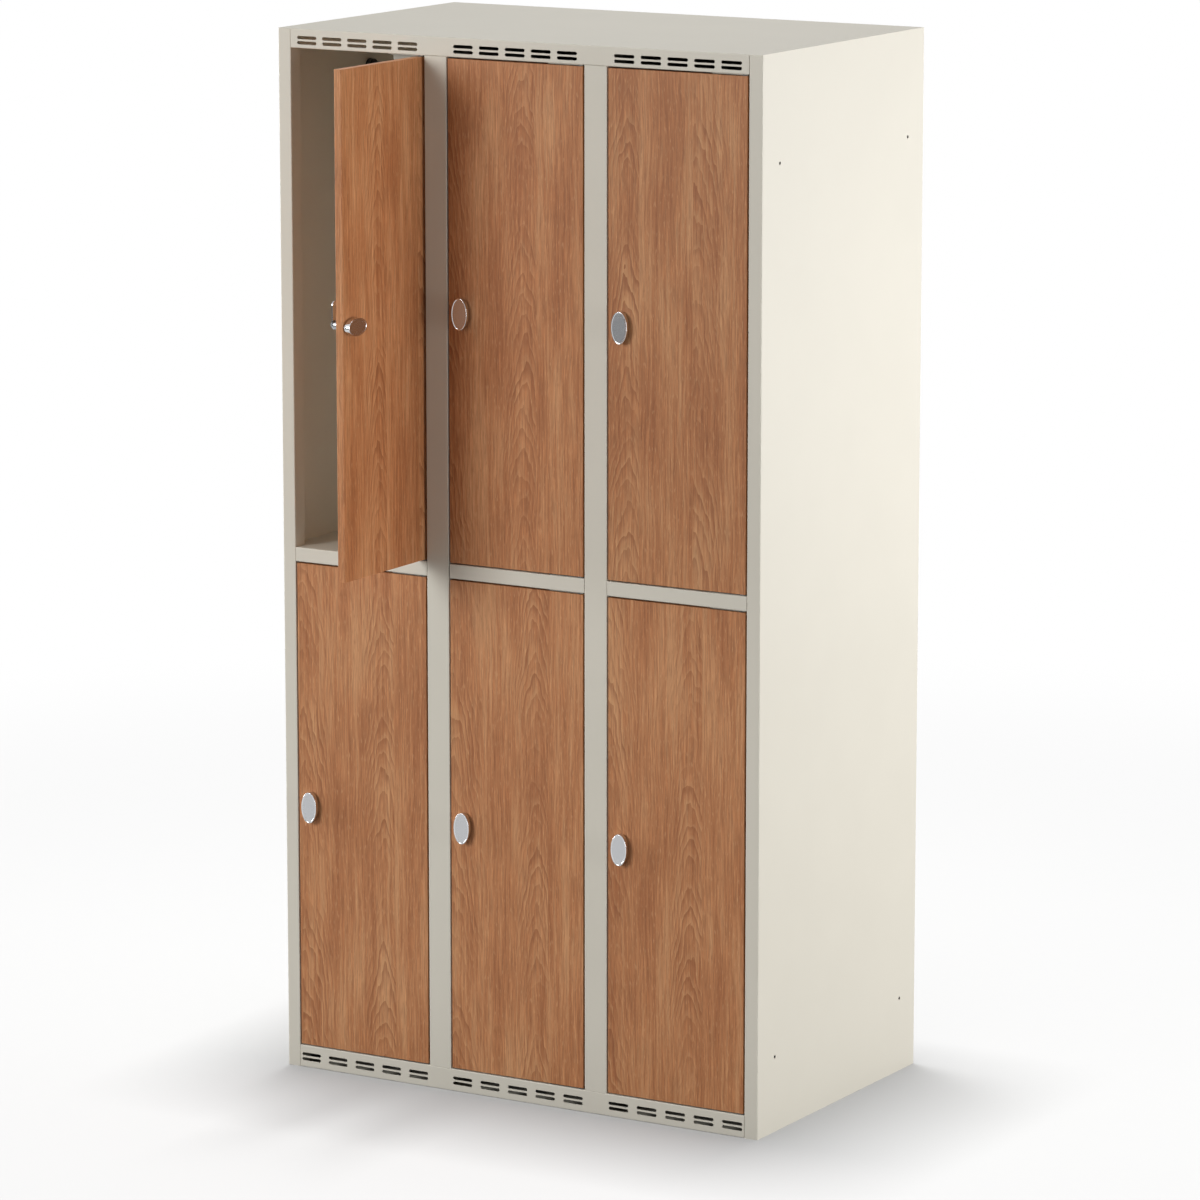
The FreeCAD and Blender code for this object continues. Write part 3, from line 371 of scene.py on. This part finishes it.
def plastic(name):
    # Moulded plastic or enamel: a fine grain breaks up its sheen
    code, roughness, grain = plastics[name]
    material, tree = newMaterial(name)
    spot = addNode(tree, "TexCoord").outputs["Object"]
    scaled = addNode(tree, "Mapping", {"Vector": spot, "Scale": (1 / (grain * mm),) * 3})
    texture = addNode(tree, "TexNoise", {"Vector": scaled, "Scale": 1.0, "Detail": 2.0})
    lighter = addNode(tree, "Mix", {0: plasticGrain["lighter"], 6: code, 7: "#FFFFFF"}, data_type="RGBA")
    colour = addNode(tree, "Mix", {0: texture, 6: code, 7: lighter.outputs[2]}, data_type="RGBA")
    span = plasticGrain["roughnessSpan"]
    rough = addNode(tree, "Math", {0: texture, 1: span, 2: roughness - span / 2},
                    operation="MULTIPLY_ADD")
    bump = addNode(tree, "Bump", {"Height": texture, "Strength": plasticGrain["bump"],
                                  "Distance": plasticGrain["relief"] * mm})
    shader = addNode(tree, "BsdfPrincipled", {"Base Color": colour.outputs[2], "Roughness": rough,
                                              "Normal": bump})
    addNode(tree, "OutputMaterial", {"Surface": shader})
    return material


def dress(names, material):
    for name in names:
        for slot in nodes[name].material_slots:
            slot.material = material


fittings = ("pivot_brackets", "pivot_bushes", "coat_rails", "rail_cups")
sheets = [name for name in frame["record"]["behaviour"]["bodies"]["carcass"] if name not in fittings]
dress(sheets, powderCoat())
# the brackets' darkened zinc is painted shade for the gaps they sit in
dress(["pivot_brackets"], metal("ZincPlateDarkenedAsPaintedShade"))
dress(["coat_rails"], plastic("BlackEnamel"))
dress(["pivot_bushes", "rail_cups"], plastic("BlackMouldedPlastic"))
for place in places:
    dress(["door_" + place], laminateFor(place))
dress(["hinge_pins_" + place for place in places], metal("TurnedSteel"))
dress(["lock_body_" + place for place in places], metal("DieCastZincChrome"))
dress(["lock_cam_" + place for place in places], metal("CamChrome"))
dress(["cam_nut_" + place for place in places], metal("ZincPlatedNut"))
print("materials on the frame's nodes")


def addPiece(name, bm, materials):
    # makes the finished mesh an object at the origin, with one slot for each material
    mesh = bpy.data.meshes.new(name)
    bm.to_mesh(mesh)
    bm.free()
    for material in materials:
        mesh.materials.append(material)
    piece = bpy.data.objects.new(name, mesh)
    bpy.context.scene.collection.objects.link(piece)
    return piece


# Knobs: the CAD knob's own sizes, with smooth chrome and a satin face inside the rim

knob = {
    "rim": 1.5,             # mm, polished rim round the face
    "edge": 0.6,            # mm, rounding of the front edge
    "dish": 0.4,            # mm, how far the face lies below the rim
    "slope": 0.6,           # mm, width of the slope down to the face
    "backEdge": 1.8,        # mm, rounding of the back edge
    "edgeSegments": 6,
    "segments": 96,
    "gap": 0.1,             # mm, between the knob's back and the lock's collar
    "spindle": 4.0,         # mm, radius
    "spindleSegments": 48,
    "square": 5.4,          # mm, across the flats
    "thread": 2.5,          # mm, radius
    "threadSegments": 32,
    "overlap": 1.0,         # mm, how far each rod reaches into the one in front of it
    "rodEdge": 0.3,         # mm, rounding of the rods' ends
    "level": 0.001,         # mm, height within which an edge of a rod counts as level
}


def addRod(bm, radius, start, end, segments, turn=0.0):
    # a solid rod along the knob's axis, from start to end in millimetres in front of the pivot plane
    place = Matrix.Translation((0, 0, (start + end) / 2)) @ Matrix.Rotation(turn, 4, "Z")
    made = bmesh.ops.create_cone(bm, cap_ends=True, segments=segments, radius1=radius, radius2=radius,
                                 depth=abs(end - start), matrix=place)
    rims = {edge for vert in made["verts"] for edge in vert.link_edges
            if abs(edge.verts[0].co.z - edge.verts[1].co.z) < knob["level"]}
    bmesh.ops.bevel(bm, geom=list(rims), offset=knob["rodEdge"], offset_type="OFFSET", affect="EDGES",
                    segments=2, profile=0.5, material=-1)


def makeKnob(place, chrome, satin):
    # every height is in millimetres in front of the pivot plane, from the CAD knob of a closed door
    low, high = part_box("lock_knob_lower_left")
    plane = closedPivot.y
    front = (plane - low.y) / mm
    back = (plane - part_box("lock_body_lower_left")[0].y) / mm + knob["gap"]
    camLow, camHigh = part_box("lock_cam_lower_left")
    camFront = (plane - camLow.y) / mm
    camBack = (plane - camHigh.y) / mm
    end = (plane - high.y) / mm

    bm = bmesh.new()
    made = bmesh.ops.create_circle(bm, cap_ends=True, segments=knob["segments"], radius=1.0)
    half = ((high.x - low.x) / 2 / mm, (high.z - low.z) / 2 / mm, 1.0)
    bmesh.ops.scale(bm, vec=half, verts=made["verts"])
    bmesh.ops.translate(bm, vec=(0, 0, back), verts=made["verts"])
    bottom = bm.faces[:]
    grown = bmesh.ops.extrude_face_region(bm, geom=bottom, use_keep_orig=True)
    top = [item for item in grown["geom"] if isinstance(item, bmesh.types.BMFace)]
    topVerts = [item for item in grown["geom"] if isinstance(item, bmesh.types.BMVert)]
    bmesh.ops.translate(bm, vec=(0, 0, front - back), verts=topVerts)
    for faces, width in ((top, knob["edge"]), (bottom, knob["backEdge"])):
        rim = list({edge for face in faces for edge in face.edges})
        bmesh.ops.bevel(bm, geom=rim, offset=width, offset_type="OFFSET", affect="EDGES",
                        segments=knob["edgeSegments"], profile=0.5, material=-1)
    bmesh.ops.recalc_face_normals(bm, faces=bm.faces)
    face = max(bm.faces, key=lambda one: one.calc_center_median().z)
    bmesh.ops.inset_region(bm, faces=[face], thickness=knob["rim"] - knob["edge"], depth=0,
                           use_even_offset=True)
    bmesh.ops.inset_region(bm, faces=[face], thickness=knob["slope"], depth=-knob["dish"],
                           use_even_offset=True)
    for one in bm.faces:
        one.smooth = True
    for edge in face.edges:
        edge.smooth = False
    face.material_index = 1
    overlap = knob["overlap"]
    addRod(bm, knob["spindle"], back + overlap, camFront, knob["spindleSegments"])
    addRod(bm, knob["square"] / math.sqrt(2), camFront + overlap, camBack, 4, math.pi / 4)
    addRod(bm, knob["thread"], camBack + overlap, end, knob["threadSegments"])

    # to its place: the axis points out of the door, the long axis up, or level on the open door
    joint = joints["knob_turn_" + place]
    out = Vector(joint["axis"]).normalized()
    turned = math.radians(joint["range_deg"][0])
    longWay = Matrix.Rotation(-turned, 3, out) @ Vector((0, 0, 1))
    axes = Matrix((longWay.cross(out), longWay, out)).transposed().to_4x4()
    spot = Matrix.Translation(Vector(joint["pos_m"])) @ axes @ Matrix.Scale(mm, 4)
    bmesh.ops.transform(bm, matrix=spot, verts=bm.verts)
    piece = addPiece("knob_" + place, bm, [chrome, satin])
    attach(piece, "lock_" + place)
    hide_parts("lock_knob_" + place)


polished = metal("PolishedChrome")
satin = metal("SatinChromeFace")
for place in places:
    makeKnob(place, polished, satin)
print("knobs")

# Floor, lights and camera

stageSetup = {
    "floorRadius": 16.0,
    "floorSegments": 64,
    "shadowReach": (1.6, 3.6),  # metres from the middle, over which the floor turns plain white
    "floorSeen": "#959595",     # what the camera sees; dark, so that the cabinet's own light hardly shows
    "floorLift": 0.20,          # added for the camera, so that the open floor is white
    "floorBounce": "#605F5E",   # what lights the object from below
    "worldLight": 0.19,         # the white world's strength as a light; it is seen at full strength
}


def raysThatSee(tree):
    # 1 for a ray that shows its surface to the eye, straight, mirrored or through glass, else 0
    ray = addNode(tree, "LightPath").outputs
    seen = addNode(tree, "Math", {0: ray["Is Glossy Ray"], 1: ray["Is Transmission Ray"]},
                   operation="MAXIMUM")
    return addNode(tree, "Math", {0: ray["Is Camera Ray"], 1: seen}, operation="MAXIMUM")


def floorMaterial():
    # A pale studio floor: white to the camera, and a little darker in what it throws back
    material, tree = newMaterial("StudioFloor")
    seen = raysThatSee(tree)
    colour = addNode(tree, "Mix", {0: seen, 6: stageSetup["floorBounce"], 7: stageSetup["floorSeen"]},
                     data_type="RGBA")
    diffuse = addNode(tree, "BsdfDiffuse", {"Color": colour.outputs[2]})
    lift = addNode(tree, "Math", {0: seen, 1: stageSetup["floorLift"]}, operation="MULTIPLY")
    lift = addNode(tree, "Emission", {"Strength": lift})
    near = addNode(tree, "AddShader", {0: diffuse, 1: lift})
    # past the shadow the floor is as white as the world, for the same rays
    spot = addNode(tree, "TexCoord").outputs["Object"]
    away = addNode(tree, "VectorMath", {0: spot}, operation="LENGTH").outputs["Value"]
    start, end = stageSetup["shadowReach"]
    far = addNode(tree, "MapRange", {"Value": away, "From Min": start, "From Max": end},
                  interpolation_type="SMOOTHSTEP")
    far = addNode(tree, "Math", {0: seen, 1: far}, operation="MULTIPLY")
    white = addNode(tree, "Emission", {"Strength": 1.0})
    both = addNode(tree, "MixShader", {0: far, 1: near, 2: white})
    addNode(tree, "OutputMaterial", {"Surface": both})
    return material


def makeFloor():
    bm = bmesh.new()
    bmesh.ops.create_circle(bm, cap_ends=True, segments=stageSetup["floorSegments"],
                            radius=stageSetup["floorRadius"])
    floor = addPiece("studio_floor", bm, [floorMaterial()])


card = {
    # a grey card at the left front, for the upper knobs' chrome to reflect: nothing else sees it
    "spot": (-1.6, -3.3, 0.85),
    "side": (3.0, 1.5),
    "faces": (0.1, -0.3),       # the point it is turned to, at its own height
    "grey": 0.20,
    "fade": 0.15,               # how much lighter it is at the floor, and darker at the fade's top
    "fadeTop": 1.6,
}


def makeCard():
    bm = bmesh.new()
    bmesh.ops.create_grid(bm, x_segments=1, y_segments=1, size=0.5)
    bmesh.ops.scale(bm, vec=(*card["side"], 1.0), verts=bm.verts)
    spot = Vector(card["spot"])
    turn = (Vector((*card["faces"], spot.z)) - spot).to_track_quat("Z", "Y").to_matrix().to_4x4()
    bmesh.ops.transform(bm, matrix=Matrix.Translation(spot) @ turn, verts=bm.verts)
    material, tree = newMaterial("GreyCard")
    # a little lighter towards the floor, as a studio wall is
    inRoom = addNode(tree, "TexCoord").outputs["Object"]
    height = addNode(tree, "SeparateXYZ", {0: inRoom}).outputs[2]
    strength = addNode(tree, "MapRange", {"Value": height, "From Max": card["fadeTop"],
                                          "To Min": card["grey"] * (1 + card["fade"]),
                                          "To Max": card["grey"] * (1 - card["fade"])})
    glow = addNode(tree, "Emission", {"Strength": strength})
    addNode(tree, "OutputMaterial", {"Surface": glow})
    sheet = addPiece("grey_card", bm, [material])
    sheet.visible_camera = False
    sheet.visible_diffuse = False
    sheet.visible_shadow = False


def makeWorld():
    world = bpy.data.worlds.new("Studio")
    world.use_nodes = True
    tree = world.node_tree
    tree.nodes.clear()
    strength = addNode(tree, "MapRange", {"Value": raysThatSee(tree), "To Min": stageSetup["worldLight"]})
    background = addNode(tree, "Background", {"Color": "#FFFFFF", "Strength": strength})
    addNode(tree, "OutputWorld", {"Surface": background})
    bpy.context.scene.world = world


lamps = {
    # name: place, point it faces, side in metres, watts
    "frontSoftbox": ((-3.5, -7.6, 3.5), (0.0, 0.0, 0.9), 3.4, 412),
    "sideSoftbox": ((5.0, -0.40, 1.15), (0.3, -0.2, 0.85), 2.2, 117),
    "backSoftbox": ((2.3, 1.9, 1.2), (0.45, 0.1, 0.8), 1.7, 46),
    "leftFill": ((-4.5, -0.75, 1.3), (-0.2, -0.4, 1.2), 1.6, 110),
    "topPanel": ((0.2, 0.5, 4.5), (0.2, 0.4, 1.7), 2.0, 36),
    "floorPanel": ((-0.20, 0.42, 8.4), (-0.20, 0.42, 0.0), 1.4, 1150),
    "floorSky": ((0.0, 0.0, 4.0), (0.0, 0.0, 0.0), 12.0, 534),
}


def makeLamps():
    # The floor has its own lamps overhead, for a soft shadow close to the base on all sides:
    # they light nothing else, and the other lamps leave the floor alone.
    floorOnly = bpy.data.collections.new("floorOnly")
    floorLeftOut = bpy.data.collections.new("floorLeftOut")
    for collection, state in ((floorOnly, "INCLUDE"), (floorLeftOut, "EXCLUDE")):
        collection.objects.link(bpy.data.objects["studio_floor"])
        collection.collection_objects[0].light_linking.link_state = state
    for name, (spot, target, side, watts) in lamps.items():
        data = bpy.data.lights.new(name, "AREA")
        data.shape = "SQUARE"
        data.size = side
        data.energy = watts
        lamp = bpy.data.objects.new(name, data)
        lamp.location = spot
        lamp.rotation_euler = (Vector(target) - Vector(spot)).to_track_quat("-Z", "Y").to_euler()
        lamp.visible_camera = False
        lamp.light_linking.receiver_collection = floorOnly if name.startswith("floor") else floorLeftOut
        bpy.context.scene.collection.objects.link(lamp)


cameraSetup = {
    # A level lens with a large shift took the photograph. This camera tilts down instead
    # and keeps its shift at zero; it was fitted to the same corners.
    "target": (-0.002, -0.001, 0.793),
    "azimuth": 30.64,
    "elevation": 10.91,
    "distance": 9.705,
    "lens": 176.0,              # mm, on a sensor as wide as the next line says
    "sensor": 36.0,
    "clipEnd": 100.0,
}


def makeCamera():
    data = bpy.data.cameras.new("camera")
    data.sensor_width = cameraSetup["sensor"]
    data.lens = cameraSetup["lens"]
    data.clip_end = cameraSetup["clipEnd"]
    azimuth = math.radians(cameraSetup["azimuth"])
    elevation = math.radians(cameraSetup["elevation"])
    back = Vector((math.sin(azimuth) * math.cos(elevation), -math.cos(azimuth) * math.cos(elevation),
                   math.sin(elevation)))
    camera = bpy.data.objects.new("camera", data)
    camera.location = Vector(cameraSetup["target"]) + back * cameraSetup["distance"]
    camera.rotation_euler = (-back).to_track_quat("-Z", "Y").to_euler()
    bpy.context.scene.collection.objects.link(camera)
    bpy.context.scene.camera = camera


makeFloor()
makeCard()
makeWorld()
makeLamps()
makeCamera()
bpy.context.scene.view_settings.view_transform = "Standard"
print("floor, lamps and camera")
